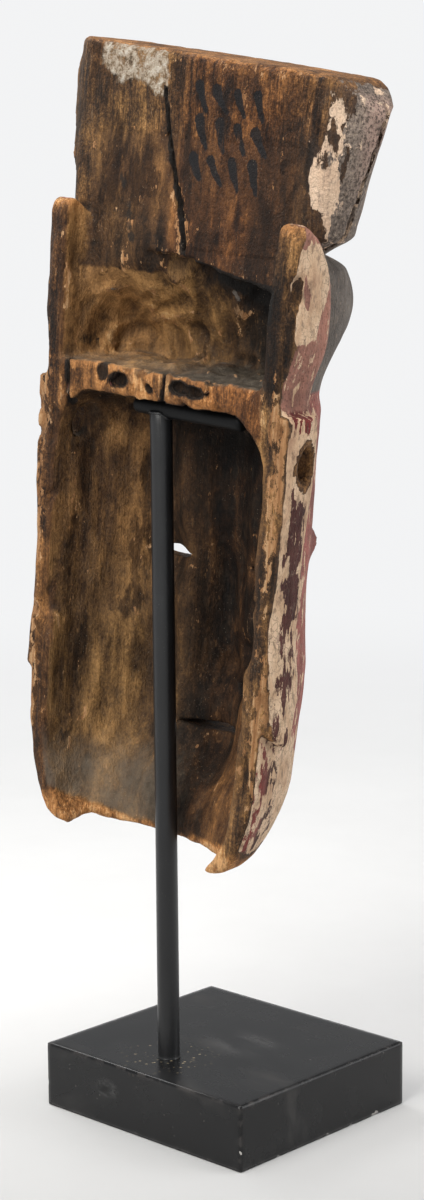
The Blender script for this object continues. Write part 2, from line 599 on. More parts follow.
def keep_largest(V, Q):
    """Only the one connected carved piece, with no stray crumbs."""
    lab = np.arange(len(V))
    while True:
        m = lab[Q].min(1)
        new = lab.copy()
        for k in range(4):
            np.minimum.at(new, Q[:, k], m)
        new = new[new]
        if (new == lab).all():
            break
        lab = new
    big = np.bincount(lab).argmax()
    use = lab == big
    remap = np.cumsum(use) - 1
    return V[use], remap[Q[use[Q[:, 0]]]]


def vertex_normals(V, Q):
    n = np.cross(V[Q[:, 2]] - V[Q[:, 0]], V[Q[:, 3]] - V[Q[:, 1]])
    N = np.zeros_like(V)
    for k in range(4):
        np.add.at(N, Q[:, k], n)
    return N / np.maximum(np.linalg.norm(N, axis=1, keepdims=True), 1e-9)


VOXEL = 2.0
V, Q = build_mask(VOXEL)
V, Q = keep_largest(V, Q)
N = vertex_normals(V, Q)

# =====================================================================
# Where each surface is bare, primed, painted, worn, stained or dusty
# =====================================================================
u, v, w = V.T
s = np.abs(u)
nu, nv, nw = N.T
R_, L_ = ease(6, -6, u), ease(-6, 6, u)          # the mask's right and left halves

dh, dr, dp = f_hollow(u, v, w), f_recess(u, v, w), f_pocket(u, v, w)
in_tie = (f_tie(u, v, w) < 2.2) & (s > 60)
in_slit = (f_slits(u, v, w) < 1.2) & (w < -80) & (np.abs(nv) < 0.62)
in_hollow = ease(5.5, 2.0, np.abs(dh)) * (w < -10)
in_pocket = ease(5.5, 2.0, np.minimum(np.abs(dp), np.abs(dr))) * (w > -3) * (v > -66) * (s < 80) * (w < 125)
vb = panel_back(w)
rag = fbm(u / 14, v / 14, w / 22, 3, 40)
panel = ease(0.30, 0.62, nv + 0.30 * rag) * (w > 50) * (v > vb - 9) * (v < vb + 6)
wing_line = -np.interp(w, [60, 72, 81, 98, 113, 128, 143, 156, 170], [92, 84, 82, 78, 76, 79, 85, 92, 99])
wing_back = panel * ease(8.0, -5.0, u - wing_line + 11 * rag + 5 * fbm(u / 5, v / 5, w / 7, 3, 44)) * (w > 66)
panel = panel * (1 - wing_back)
rim_back = ease(0.30, 0.62, nv + 0.12 * rag) * (v > -9)
shelf_back = rim_back * ease(79, 74, s) * (w < 4) * ease(-30, -24, w)
low_edge = ease(-0.3, -0.7, nw) * (w < -238) * ease(-40, -30, v)
top_face = ease(0.45, 0.75, nw) * (w > 140) * ease(-98, -84, u + 10 * rag)
bare = np.clip(np.maximum.reduce([in_hollow, in_pocket, panel, rim_back, low_edge, 0.9 * top_face, in_tie * 1.0, in_slit * 1.0]), 0, 1)

grain = fbm(u / 7, v / 7, w / 60, 3, 41)
lump = fbm(u / 28, v / 28, w / 34, 3, 42)
fine = fbm(u / 6, v / 6, w / 10, 3, 43)

# convex arrises wear bright, hollow corners hold dirt
e = 3.0
inside = field(u - e * nu, v - e * nv, w - e * nw)
outside = field(u + e * nu, v + e * nv, w + e * nw)
edge = np.clip((inside + outside) / (2 * e), -1, 1)
convex, hollow_ = np.clip(edge * 2.2, 0, 1), np.clip(-edge * 2.2, 0, 1)

# ---- bare wood: brightness, warmth (+) or olive (-), bright wear, dark stain
tone = 0.40 + 0 * u
cast = 0.15 + 0 * u
wear = 0.45 * convex
stain = 0.0 * u


def blend(a, b, m):
    return a * (1 - m) + b * m


bx_ = u / 13 + 0.9 * vnoise(u / 22, v / 22, w / 22, 8)
bz_ = w / 13 + 0.9 * vnoise(u / 22, v / 22, w / 22, 18)
chis = scoops(bx_ * 0.95, v / 16, bz_ * 0.75 + 0.4 * bx_, 57) - 0.45
gouge = scoops(u / 13 + 0.25 * np.sin(w / 31), v / 15, w / 46, 51) - 0.45
wall = ease(46, 68, u)
hol = 0.398 + 0.155 * ease(34, 54, u) - 0.05 * bell(u, 38, 13) * ease(-60, -100, w) + 0.05 * ease(-70, -22, w) * ease(30, 50, u) + 0.03 * bell(u, 58, 14) - 0.125 * ease(24, 4, u) + 0.12 * ease(-150, -200, w) * ease(0, -30, u) - 0.12 * ease(-85, -24, w) - 0.13 * bell(v, -20, 13) * wall
hol = hol + 0.02 * ease(-110, -180, w) * ease(0, 30, u) + 0.09 * lump + 0.14 * gouge
tone = blend(tone, hol, in_hollow)
cast = blend(cast, 0.04 - 0.26 * ease(-90, -170, w) * ease(-10, 20, u) + 0.22 * ease(20, 0, u), in_hollow)
stain = blend(stain, 0.31 * ease(16, 2, u) * ease(-205, -170, w) + 0.22 * bell(v, -20, 12) * wall + 0.35 * bell(u, -24, 12) * bell(w, -157, 12) + 0.3 * bell(u, -19, 7) * bell(w, -180, 7) + 0.30 * ease(-60, -22, w) + 0.36 * bell(u, 54, 6.0) * ease(-24, -34, v) * ease(-40, -70, w) * ease(-195, -160, w), in_hollow)
poc = 0.47 + 0.16 * chis - 0.10 * ease(0.6, 0.95, nw) + 0.12 * lump + 0.20 * ease(5, 40, u) - 0.40 * ease(14, -40, u) + 0.06 * bell(u, 30, 30) * bell(w, 40, 22)
lip = POCKET_TOP + 3 - 12 * ease(25, -62, u)
under_lip = in_pocket * ease(lip - 30, lip - 6, w) * ease(lip + 3, lip - 1, w) * ease(25, -18, u)
tone = blend(tone, poc, in_pocket)
cast = blend(cast, -0.20 + 0.22 * ease(20, 65, u), in_pocket)
stain = np.maximum(stain, 0.95 * under_lip)
pan = 0.395 + 0.105 * ease(25, 45, u) + 0.13 * grain + 0.10 * lump - 0.03 * ease(20, -10, u) - 0.09 * ease(95, 62, w) + 0.10 * bell(w, crown_top(u) - 3, 6) - 0.05 * ease(60, 84, u)
tone = blend(tone, pan, panel)
cast = blend(cast, 0.05 + 0.50 * ease(24, 8, u) * ease(-85, -50, u) + 0.3 * lump, panel)
stain = blend(stain, 0.15 + 0.36 * lump + 0.20 * bell(u, 52, 14) * bell(w, 95, 32) + 0.12 * bell(u, 60, 20) * bell(w, 128, 16), panel)
wear = blend(wear, 0.62 * convex + 0.18 * bell(w, crown_top(u) - 3, 5), panel)
she = 0.73 - 0.14 * ease(-8, -55, u) + 0.06 * lump
tone = blend(tone, she, shelf_back)
cast = blend(cast, 0.42 + 0.25 * ease(-10, -55, u), shelf_back)
stain = blend(stain, 0.20 + 0.22 * ease(52, 76, s) + 0.2 * fine, shelf_back)
rimw = rim_back * (1 - shelf_back) * (w < 95)
tone = blend(tone, 0.445 + 0.12 * lump + 0.07 * R_ * (w < -10) - 0.10 * R_ * ease(75, 55, w) * (w > 0) - 0.10 * L_ * (w > 0), rimw)
cast = blend(cast, 0.32 - 0.30 * R_ + 0 * u, rimw)
wear = blend(wear, 0.55 * convex + 0.36 * ease(78, 88, s) * (w < 0) + 0.10 * ease(78, 88, s) + 0.30 * lump - 0.15 * R_ * (w > 0), rimw)
stain = blend(stain, 0.18 + 0.30 * lump - 0.08 * R_ * (w < -10) + 0.16 * R_ * ease(75, 55, w) * (w > 0), rimw)
tip = np.maximum(bell(w, LEAF_TOP, 8) * (s > 70) * (v > vb + 4) * (w < 95), ease(-247, -257, w) * ease(-30, 0, v))
tip = np.maximum(tip, top_face * 0.6)
chin = in_hollow * ease(1.5, -1.5, w - (FOOT + NOTCH_RISE + 0.42 * v) - 6.5 - 3.0 * fine)
tip = np.maximum(tip, np.maximum(chin, low_edge))
tone = blend(tone, 0.79 + 0.10 * lump, tip)
cast = blend(cast, 0.45 + 0 * u, tip)
stain = stain * (1 - 0.8 * tip)
ledge = ((w > -60) & (w < -8)).astype(float) * rim_back * R_ * ease(70, 76, s) * ease(86, 80, s)
tone = blend(tone, 0.70 + 0 * u, ledge * ease(-48, -36, w))
pale = np.exp(-((u - (np.interp(w, [60, 80, 117, 145], [4, 8, 20, 27]) + 7.5)) / 4.8) ** 2) * panel * ease(58, 70, w) * ease(135, 105, w)
tone = tone + 0.22 * pale * ease(-0.5, 0.4, grain) - 0.10 * panel * bell(u, 45, 15) * bell(w, 92, 30)
beside = panel * ease(7.0, 2.5, line_sdf(u, w, CRACK)) * ease(60, 66, w) * ease(118, 84, w)
scrape = panel * np.maximum(bell(u, -31, 2.2) * bell(w, 146, 9), 0.8 * bell(u, -60, 7) * ease(90, 102, w) * ease(140, 125, w) * ease(-0.1, 0.3, fine))
wear = wear + 0.46 * beside + 0.55 * scrape + 0.30 * in_pocket * ease(0.15, 0.6, chis) * ease(-10, 30, u) + 0.16 * in_hollow * ease(0.25, 0.7, gouge)
stain = stain - 0.3 * pale
tone = tone + 0.10 * convex * bare - 0.12 * hollow_ * bare
tone = tone + 0.16 * in_tie + 0.30 * in_hollow * bell(u, 66, 5.5) * bell(w, -40, 14) * ease(-0.5, 0.2, fine)
tone = np.clip(tone, 0.02, 1.0)

# ---- priming (kg), paint (kp) and the paint's colour
ear_m = ((poly_sdf(v, w, EAR) < 1.5) & (s > 82) & (w < -10)).astype(float)
leaf_m = ((poly_sdf(v, w, LEAF) < 2.0) & (s > 80) & (w > -16)).astype(float) * (1 - ear_m)
crown_m = ((w > 66) & (leaf_m < 0.5)).astype(float)
dome_m = ((w > -2) & (w <= 66) & (leaf_m < 0.5)).astype(float)
face_m = (1 - ear_m) * (1 - leaf_m) * (1 - crown_m) * (1 - dome_m)
jaw_m = face_m * ease(-183, -198, w) * ease(-50, -36, v + 7 * rag)
kg, kp = 0.45 + 0 * u, 0.10 + 0 * u
long_ = 0.35 + 0 * u                     # how far the flakes run out lengthways
col = np.stack([0.30 + 0 * u, 0.105 + 0 * u, 0.085 + 0 * u], 1)


def paint(mask, rgb):
    global col
    col = col * (1 - mask[:, None]) + np.array(rgb)[None, :] * mask[:, None]


def coat(mask, g, p_, lg):
    global kg, kp, long_
    kg, kp, long_ = blend(kg, g, mask), blend(kp, p_, mask), blend(long_, lg, mask)


coat(face_m, 0.5 + 0 * u, 0.05 + 0.26 * ease(-26, -48, v), 0.45)
paint(dome_m, (0.142, 0.123, 0.105))
coat(dome_m, 0.9, 0.8 + 0 * u, 0.3)
paint(crown_m, (0.218, 0.175, 0.143))
coat(crown_m, 0.48 + 0.20 * ease(-24, -44, v), 0.46 + 0.2 * ease(-60, -80, v), 0.1)
kp = blend(kp, -0.52 + 0.90 * ease(7, 22, wing_line - u + 12 * rag - 10 * ease(125, 90, w) - 9 * ease(98, 84, w)), wing_back)
kg = blend(kg, 0.44 - 0.36 * ease(106, 122, w) + 0.80 * fine, wing_back)
pink = crown_m * R_ * ease(94, 103, s) * ease(-30, -40, v)
paint(pink * 0.75, (0.42, 0.285, 0.230))
paint(leaf_m, (0.310, 0.148, 0.108))
cream_leaf = leaf_m * ease(2.5, -2.5, poly_sdf(v, w, [(-1, 72), (-16, 76), (-27, 67), (-27, 52), (-16, 27), (1, 25), (-2, 53)]))
spot = leaf_m * ease(2.0, -2.0, poly_sdf(v, w, [(-13, 50), (-8, 62), (-6, 54), (-7, 44), (-12, 41)]))
coat(leaf_m, 0.58 + 0.75 * cream_leaf - 0.35 * ease(-10, -2, v) * (1 - cream_leaf), 0.30 - 1.1 * cream_leaf + 1.3 * spot, 0.6)
paint(ear_m, (0.082, 0.029, 0.024))
strip = 0.5 + 0.5 * np.cos((v + 14) / 3.9 + 0.35 * np.sin(w / 23))
coat(ear_m, 0.30 + 0.40 * ease(-1, -9, v) - 0.2 * bell(w, -45, 16) + 0.2 * ease(-120, -170, w), 0.02 + 0.85 * (strip - 0.5) - 0.05 * bell(w, -18, 8) - 0.32 * ease(-110, -165, w), 1.0)
paint(ear_m * bell(w, -17, 8), (0.17, 0.022, 0.020))
paint(jaw_m * ease(-12, -7, v), (0.20, 0.045, 0.036))
paint(jaw_m * ease(-10, -14, v) * ease(-40, -32, v), (0.085, 0.045, 0.034))
coat(jaw_m, 0.74 + 0.25 * ease(-28, -40, v), -0.04 - 0.50 * ease(-20, -34, v) + 0.22 * bell(v, -6, 4), 0.6)
ring = bell(f_tie(u, v, w), 3.5, 3.2) * (s > 80) * (w < -20) * (w > -60)
kp, kg = kp - 0.75 * ring, kg + 0.35 * ring
lips = face_m * bell(w, MOUTH_W - 1, 9) * (1 - ease(0.7, 1.05, s / MOUTH_HALF)) * (v < -50)
paint(lips * 0.85, (0.20, 0.030, 0.026))
brows = face_m * bell(w, BROW_W + 5 - 0.006 * (s - 34) ** 2, 5.5) * ease(6, 14, s) * (1 - ease(60, 70, s)) * (v < -30)
paint(brows * 0.92, (0.028, 0.024, 0.022))
brim = ease(1.4, 2.8, brim_relief(s, w) + 2.2 * bell(w, -18.0, 1.4) + 2.2 * bell(w, -6.0, 1.4) + 1.0 * rag) * (v < -40) * (w < -1) * (w > -24) * (s < 60) * (1 - ear_m)
paint(brim, (0.22, 0.14, 0.055))
kp = kp + 0.5 * np.maximum(np.maximum(brim, lips), brows)
kg = kg - 0.55 * convex + 0.12 * lump
kp = kp - 0.45 * convex + 0.10 * lump
kg = kg - 2.0 * bare

dust = 0.10 * ease(0.55, 0.95, nw) * (w < 60) * (w > -12) + 0.47 * in_hollow * ease(-208, -238, w) * ease(-20, 30, u) * (1 - chin) + 0.15 * ease(0.6, 0.95, nw)
dust = np.clip(dust + 0.24 * in_pocket * ease(22, 0, w) + 0.12 * in_tie + 0.13 * in_hollow * (1 - chin), 0, 1)

# ---- plaster repair, brush strokes, blots and burnt marks: signed distances in mm
far = 9.0
on_panel = np.where(panel > 0.3, 0.0, far)
patch = poly_sdf(u, w, [(79, 171), (57, 176), (27, 172), (26.5, 146), (33, 144), (46, 153), (62, 151), (79, 158)]) + on_panel
ink = f_strokes(u, w) + on_panel
blot = np.full(u.shape, far)
for (cu, cw, r) in ((55.7, 99.2, 2.6), (53.5, 95.5, 1.8), (48.5, 86.0, 2.4), (47.6, 80.5, 2.8), (46.2, 74.4, 2.6), (43.5, 68.5, 3.0)):
    blot = np.minimum(blot, np.hypot(u - cu, (w - cw) * 0.9) - r)
blot = blot + on_panel

soot = 1.1 * under_lip * ease(28, -20, u) * ease(lip - 28, lip - 12, w)
on_shelf = ease(-9.5, -7.0, v) * (w < 3) * (w > -22)
for (cu, cw, ru, rw, a) in ((43.2, -5.0, 4.6, 5.8, 0.85), (31.0, -8.0, 8.5, 5.0, 0.95), (8.7, -10.0, 3.4, 3.4, 0.9), (-15.5, -6.6, 8.0, 4.6, 1.15), (-26.0, -7.6, 8.5, 3.8, 1.15)):
    soot = np.maximum(soot, a * np.exp(-(((u - cu) / ru) ** 2 + ((w - cw) / rw) ** 2) ** 1.6) * on_shelf)
soot = np.maximum(soot, 0.95 * np.exp(-((u + 4.0 + 0.05 * w) / 1.7) ** 2) * on_shelf)
soot = np.maximum(soot, 0.85 * np.exp(-((u - 71.5 - 0.10 * w) / 2.0) ** 2) * ease(-9, -6, v) * (w < 10) * (w > -34))
soot = np.maximum(soot, 0.95 * np.exp(-(((u - 66) / 9) ** 2 + ((w - 10) / 8) ** 2) ** 1.5) * (v > -26))
crack_d = line_sdf(u, w, CRACK)
soot = np.maximum(soot, 1.15 * ease(2.3 + 0.7 * bell(w, 93, 20), 0.7, crack_d) * (v > -36) * (v < -8) * (w > 62) * (w < 152))

fibre = np.clip(1.0 - 0.70 * in_pocket - 0.62 * in_hollow * (1 - tip), 0, 1)

# ---- the mesh -------------------------------------------------------------
W3 = (V @ TURN.T + PLACE) * MM
me = bpy.data.meshes.new("carved_mask")
me.vertices.add(len(W3))
me.vertices.foreach_set("co", W3.astype(np.float32).ravel())
me.loops.add(4 * len(Q))
me.loops.foreach_set("vertex_index", Q.astype(np.int32).ravel())
me.polygons.add(len(Q))
me.polygons.foreach_set("loop_start", (4 * np.arange(len(Q))).astype(np.int32))
me.polygons.foreach_set("use_smooth", np.ones(len(Q), bool))
me.update(calc_edges=True)
me.validate()
mask_obj = bpy.data.objects.new("carved_mask", me)
bpy.context.scene.collection.objects.link(mask_obj)


def put(name, values, kind="FLOAT"):
    at = me.attributes.new(name, kind, "POINT")
    key = {"FLOAT": "value", "FLOAT_VECTOR": "vector", "FLOAT_COLOR": "color"}[kind]
    at.data.foreach_set(key, np.ascontiguousarray(values, dtype=np.float32).ravel())


put("loc", V / 100.0, "FLOAT_VECTOR")
put("paint_col", np.concatenate([col, np.ones((len(V), 1))], 1), "FLOAT_COLOR")
for name, arr in (("tone", tone), ("cast", cast), ("kg", kg), ("kp", kp), ("dust", dust), ("convex", convex),
                  ("cavity", hollow_), ("wear", wear), ("stain", stain), ("long_", long_ * np.ones(len(u))), ("patch", np.clip(patch, -9, 9)), ("ink", np.clip(ink, -9, 9)),
                  ("blot", np.clip(blot, -9, 9)), ("soot", soot), ("bare", bare), ("fibre", fibre), ("wing", np.maximum(wing_back, crown_m * R_ * ease(-75, -50, v) * ease(-0.75, -0.35, nv)))):
    put(name, arr)

# =====================================================================
# Materials
# =====================================================================


class Net:
    """Short names for shader nodes."""

    def __init__(self, name):
        self.mat = bpy.data.materials.new(name)
        self.mat.use_nodes = True
        self.t = self.mat.node_tree
        self.t.nodes.clear()
        self.out = self.t.nodes.new("ShaderNodeOutputMaterial")
        self.bsdf = self.t.nodes.new("ShaderNodeBsdfPrincipled")
        self.t.links.new(self.bsdf.outputs[0], self.out.inputs[0])

    def set(self, sock, val):
        if isinstance(val, bpy.types.NodeSocket):
            self.t.links.new(val, sock)
        elif isinstance(val, (tuple, list)) and len(val) == 3 and sock.type == "RGBA":
            sock.default_value = (*val, 1)
        else:
            sock.default_value = val

    def attr(self, name, out="Fac"):
        n = self.t.nodes.new("ShaderNodeAttribute")
        n.attribute_name = name
        return n.outputs[out]

    def obj(self):
        return self.t.nodes.new("ShaderNodeTexCoord").outputs["Object"]

    def m(self, op, a, b=0.0, c=0.0, clamp=False):
        n = self.t.nodes.new("ShaderNodeMath")
        n.operation = op
        n.use_clamp = clamp
        for k, x in enumerate((a, b, c)):
            self.set(n.inputs[k], x)
        return n.outputs[0]

    def add(self, a, b):
        return self.m("ADD", a, b)

    def mul(self, a, b):
        return self.m("MULTIPLY", a, b)

    def scale(self, vec, k):
        n = self.t.nodes.new("ShaderNodeVectorMath")
        n.operation = "MULTIPLY"
        self.set(n.inputs[0], vec)
        n.inputs[1].default_value = k
        return n.outputs[0]

    def shift(self, vec, other, amount):
        n = self.t.nodes.new("ShaderNodeVectorMath")
        n.operation = "MULTIPLY_ADD"
        self.set(n.inputs[0], other)
        n.inputs[1].default_value = (amount,) * 3
        self.set(n.inputs[2], vec)
        return n.outputs[0]

    def noise(self, vec, scale=1.0, detail=4.0, rough=0.55, warp=0.0, color=False):
        n = self.t.nodes.new("ShaderNodeTexNoise")
        self.set(n.inputs["Vector"], vec)
        n.inputs["Scale"].default_value = scale
        n.inputs["Detail"].default_value = detail
        n.inputs["Roughness"].default_value = rough
        n.inputs["Distortion"].default_value = warp
        return n.outputs["Color" if color else "Fac"]

    def cells(self, vec, scale, feature="F1", rnd=1.0):
        n = self.t.nodes.new("ShaderNodeTexVoronoi")
        n.feature = feature
        self.set(n.inputs["Vector"], vec)
        n.inputs["Scale"].default_value = scale
        n.inputs["Randomness"].default_value = rnd
        return n.outputs["Distance"]

    def step(self, x, a, b):
        n = self.t.nodes.new("ShaderNodeMapRange")
        n.interpolation_type = "SMOOTHSTEP"
        self.set(n.inputs[0], x)
        n.inputs[1].default_value = a
        n.inputs[2].default_value = b
        return n.outputs[0]

    def ramp(self, x, stops):
        n = self.t.nodes.new("ShaderNodeValToRGB")
        r = n.color_ramp
        while len(r.elements) < len(stops):
            r.elements.new(0.5)
        for el, (p, c) in zip(r.elements, stops):
            el.position = p
            el.color = (*c, 1)
        self.set(n.inputs[0], x)
        return n.outputs[0]

    def mix(self, f, a, b, mode="MIX"):
        n = self.t.nodes.new("ShaderNodeMix")
        n.data_type = "RGBA"
        n.blend_type = mode
        n.clamp_factor = True
        self.set(n.inputs[0], f)
        self.set(n.inputs[6], a)
        self.set(n.inputs[7], b)
        return n.outputs[2]

    def mixf(self, f, a, b):
        n = self.t.nodes.new("ShaderNodeMix")
        n.data_type = "FLOAT"
        for k, x in enumerate((f, a, b)):
            self.set(n.inputs[(0, 2, 3)[k]], x)
        return n.outputs[0]

    def bump(self, height, dist, strength=1.0, normal=None):
        n = self.t.nodes.new("ShaderNodeBump")
        n.inputs["Strength"].default_value = strength
        n.inputs["Distance"].default_value = dist
        self.set(n.inputs["Height"], height)
        if normal is not None:
            self.set(n.inputs["Normal"], normal)
        return n.outputs[0]

    def finish(self, color, rough, normal=None, **more):
        self.set(self.bsdf.inputs["Base Color"], color)
        self.set(self.bsdf.inputs["Roughness"], rough)
        if normal is not None:
            self.set(self.bsdf.inputs["Normal"], normal)
        for k, x in more.items():
            self.set(self.bsdf.inputs[k.replace("_", " ")], x)
        return self.mat


def carved_material():
    n = Net("carved_wood")
    loc = n.attr("loc", "Vector")
    # bare wood: fibres along the height, broad streaks, blotches and scratches
    wob = n.noise(n.scale(loc, (3, 3, 0.8)), 1.0, 2.0, color=True)
    wig0 = n.noise(n.scale(loc, (16, 16, 8)), 1.0, 2.0, color=True)
    broad = n.noise(n.shift(n.scale(loc, (9, 9, 1.0)), wob, 1.2), 1.0, 4.0, 0.62)
    fib = n.noise(n.shift(n.scale(loc, (30, 30, 1.7)), wob, 2.2), 1.0, 5.0, 0.68)
    hair = n.noise(n.scale(loc, (120, 120, 7)), 1.0, 2.0, 0.6)
    blotch = n.noise(n.shift(n.scale(loc, (6.5, 6.5, 4.0)), wob, 1.0), 1.0, 6.0, 0.66)
    grit = n.noise(n.scale(loc, (75, 75, 60)), 1.0, 2.5, 0.7)
    t = n.add(n.attr("tone"), n.mul(n.add(broad, -0.5), n.add(0.52, n.mul(n.attr("fibre"), 0.28))))
    fb = n.attr("fibre")
    t = n.add(t, n.mul(n.add(fib, -0.5), n.mul(fb, 0.80)))
    t = n.add(t, n.mul(n.add(hair, -0.5), n.mul(fb, 0.30)))
    swirl = n.noise(n.shift(n.scale(loc, (13, 13, 9)), wob, 0.8), 1.0, 4.0, 0.55, 2.2)
    t = n.add(t, n.mul(n.add(swirl, -0.5), n.add(0.30, n.mul(fb, -0.22))))
    t = n.add(t, n.mul(n.add(blotch, -0.5), n.add(0.38, n.mul(fb, 0.64))))
    t = n.add(t, n.mul(n.add(grit, -0.5), n.add(0.14, n.mul(fb, 0.60))))
    wood = n.ramp(t, [(0.06, (0.0065, 0.0044, 0.0030)), (0.24, (0.024, 0.0130, 0.0068)), (0.40, (0.068, 0.034, 0.0150)),
                      (0.55, (0.145, 0.074, 0.028)), (0.70, (0.275, 0.142, 0.052)), (0.84, (0.43, 0.228, 0.084)), (1.0, (0.62, 0.41, 0.20))])
    chk = n.noise(n.shift(n.scale(loc, (24, 24, 0.9)), wob, 2.6), 1.0, 4.0, 0.58)
    lines = n.mul(n.step(n.m("ABSOLUTE", n.add(chk, -0.5)), 0.020, 0.002), n.step(broad, 0.42, 0.56))
    chk2 = n.noise(n.shift(n.scale(loc, (42, 42, 1.5)), wob, 1.4), 1.0, 3.0, 0.55)
    lines2 = n.mul(n.step(n.m("ABSOLUTE", n.add(chk2, -0.46)), 0.016, 0.002), n.step(blotch, 0.44, 0.58))
    lines = n.m("MAXIMUM", lines, n.mul(lines2, 0.8))
    wood = n.mix(n.mul(n.mul(lines, fb), 0.72), wood, n.mix(1.0, wood, (0.22, 0.20, 0.19), "MULTIPLY"))
    flk = n.mul(n.step(n.noise(n.scale(loc, (46, 46, 17)), 1.0, 3.0, 0.62), 0.615, 0.645), n.step(blotch, 0.47, 0.60))
    wood = n.mix(n.mul(flk, 0.60), wood, n.mix(0.5, (0.30, 0.155, 0.062), n.mix(1.0, wood, (1.9, 1.8, 1.7), "MULTIPLY")))
    scr = n.noise(n.shift(n.scale(loc, (30, 30, 5.0)), wig0, 0.9), 1.0, 3.0, 0.5)
    scr = n.mul(n.step(n.m("ABSOLUTE", n.add(scr, -0.53)), 0.010, 0.001), n.step(n.noise(n.scale(loc, (5.5, 5.5, 4.5)), 1.0, 4.0, 0.6), 0.50, 0.62))
    wood = n.mix(n.mul(n.mul(scr, fb), 0.62), wood, (0.33, 0.215, 0.125))
    smu = n.noise(n.shift(n.scale(loc, (8, 8, 6.5)), wig0, 0.5), 1.0, 6.0, 0.66)
    wood = n.mix(n.mul(n.step(smu, 0.56, 0.63), 0.55), wood, n.mix(1.0, wood, (0.30, 0.27, 0.26), "MULTIPLY"))
    cast = n.attr("cast")
    warm = n.mix(1.0, wood, (1.22, 0.82, 0.58), "MULTIPLY")
    olive = n.mix(1.0, wood, (0.86, 1.04, 0.98), "MULTIPLY")
    wood = n.mix(n.m("MAXIMUM", cast, 0.0), wood, warm)
    wood = n.mix(n.m("MAXIMUM", n.mul(cast, -1.0), 0.0), wood, olive)
    # dark stain soaks in along the fibre; worn arrises show bright wood
    st = n.add(n.attr("stain"), n.mul(n.add(n.noise(n.shift(n.scale(loc, (11, 11, 4.4)), wob, 1.5), 1.0, 6.0, 0.68), -0.5), 1.5))
    wood = n.mix(n.mul(n.step(st, 0.18, 0.38), 0.82), wood, n.mix(1.0, wood, (0.20, 0.18, 0.18), "MULTIPLY"))
    wr = n.add(n.attr("wear"), n.mul(n.add(n.noise(n.scale(loc, (27, 27, 12)), 1.0, 4.5, 0.70), -0.5), 2.3))
    bright = n.ramp(fib, [(0.35, (0.21, 0.092, 0.034)), (0.5, (0.38, 0.19, 0.080)), (0.65, (0.55, 0.34, 0.18))])
    wood = n.mix(n.mul(n.step(wr, 0.44, 0.51), n.mul(n.attr("bare"), 0.88)), wood, bright)
    # priming and paint flake off in islands, long along the ears
    lg = n.attr("long_")
    wig = n.noise(n.scale(loc, (26, 26, 12)), 1.0, 3.0, color=True)
    round_v, long_v = n.shift(n.scale(loc, (12, 12, 6)), wig, 0.45), n.shift(n.scale(loc, (20, 20, 2.6)), wig, 0.35)
    fl_a = n.mixf(lg, n.noise(round_v, 1.0, 5.5, 0.62), n.noise(long_v, 1.0, 5.5, 0.60))
    fl_b = n.mixf(lg, n.noise(n.shift(round_v, loc, 3.7), 1.1, 5.5, 0.62), n.noise(n.shift(long_v, loc, 3.7), 1.1, 5.5, 0.60))
    kg = n.add(n.attr("kg"), n.mul(n.add(fl_a, -0.5), 3.0))
    gess = n.step(kg, 0.03, 0.12)
    kp = n.add(n.attr("kp"), n.mul(n.add(fl_b, -0.5), 3.4))
    pnt = n.mul(n.step(kp, 0.0, 0.08), gess)
    tint = n.noise(n.scale(loc, (7, 7, 4)), 1.0, 6.0, 0.66)
    cream = n.ramp(tint, [(0.28, (0.37, 0.215, 0.132)), (0.44, (0.61, 0.405, 0.255)), (0.58, (0.74, 0.535, 0.362)), (0.75, (0.71, 0.465, 0.340))])
    grime = n.noise(n.scale(loc, (40, 40, 17)), 1.0, 4.0, 0.68)
    cream = n.mix(n.mul(n.step(grime, 0.49, 0.66), 0.56), cream, (0.085, 0.050, 0.034))
    crz = n.step(n.cells(n.shift(loc, wig, 0.035), 24.0, "DISTANCE_TO_EDGE"), 0.050, 0.012)
    cream = n.mix(n.mul(n.mul(crz, n.step(tint, 0.42, 0.60)), 0.62), cream, (0.11, 0.066, 0.043))
    pc = n.attr("paint_col", "Color")
    pc = n.mix(n.step(tint, 0.35, 0.70), n.mix(1.0, pc, (0.70, 0.68, 0.68), "MULTIPLY"), n.mix(1.0, pc, (1.40, 1.36, 1.34), "MULTIPLY"))
    pits = n.step(n.cells(n.shift(loc, wig, 0.01), 44.0), 0.34, 0.18)
    pc = n.mix(n.mul(pits, 0.55), pc, n.mix(1.0, pc, (0.42, 0.40, 0.40), "MULTIPLY"))
    pc = n.mix(n.mul(n.step(grime, 0.55, 0.70), 0.45), pc, (0.20, 0.145, 0.105))
    mott = n.noise(n.shift(n.scale(loc, (34, 34, 22)), wig, 0.6), 1.0, 4.0, 0.70)
    pc = n.mix(n.mul(n.step(mott, 0.53, 0.60), 0.55), pc, n.mix(0.45, pc, (0.085, 0.048, 0.030)))
    pc = n.mix(n.mul(n.step(mott, 0.40, 0.34), 0.65), pc, n.mix(0.6, pc, (0.42, 0.30, 0.215)))
    wg = n.attr("wing")
    rub = n.noise(n.scale(loc, (70, 70, 55)), 1.0, 2.5, 0.66)
    pc = n.mix(n.mul(n.mul(n.step(rub, 0.50, 0.60), wg), 0.80), pc, (0.060, 0.046, 0.037))
    pc = n.mix(n.mul(n.mul(n.step(rub, 0.42, 0.36), wg), 0.75), pc, (0.36, 0.285, 0.215))
    cream = n.mix(n.mul(wg, 0.30), cream, (0.78, 0.60, 0.475))
    under = n.mix(n.mul(n.step(kg, 0.03, -0.55), 0.35), n.mix(0.55, wood, (0.060, 0.040, 0.030)), wood)
    colr = n.mix(n.attr("bare"), under, wood)
    colr = n.mix(gess, colr, cream)
    colr = n.mix(pnt, colr, pc)
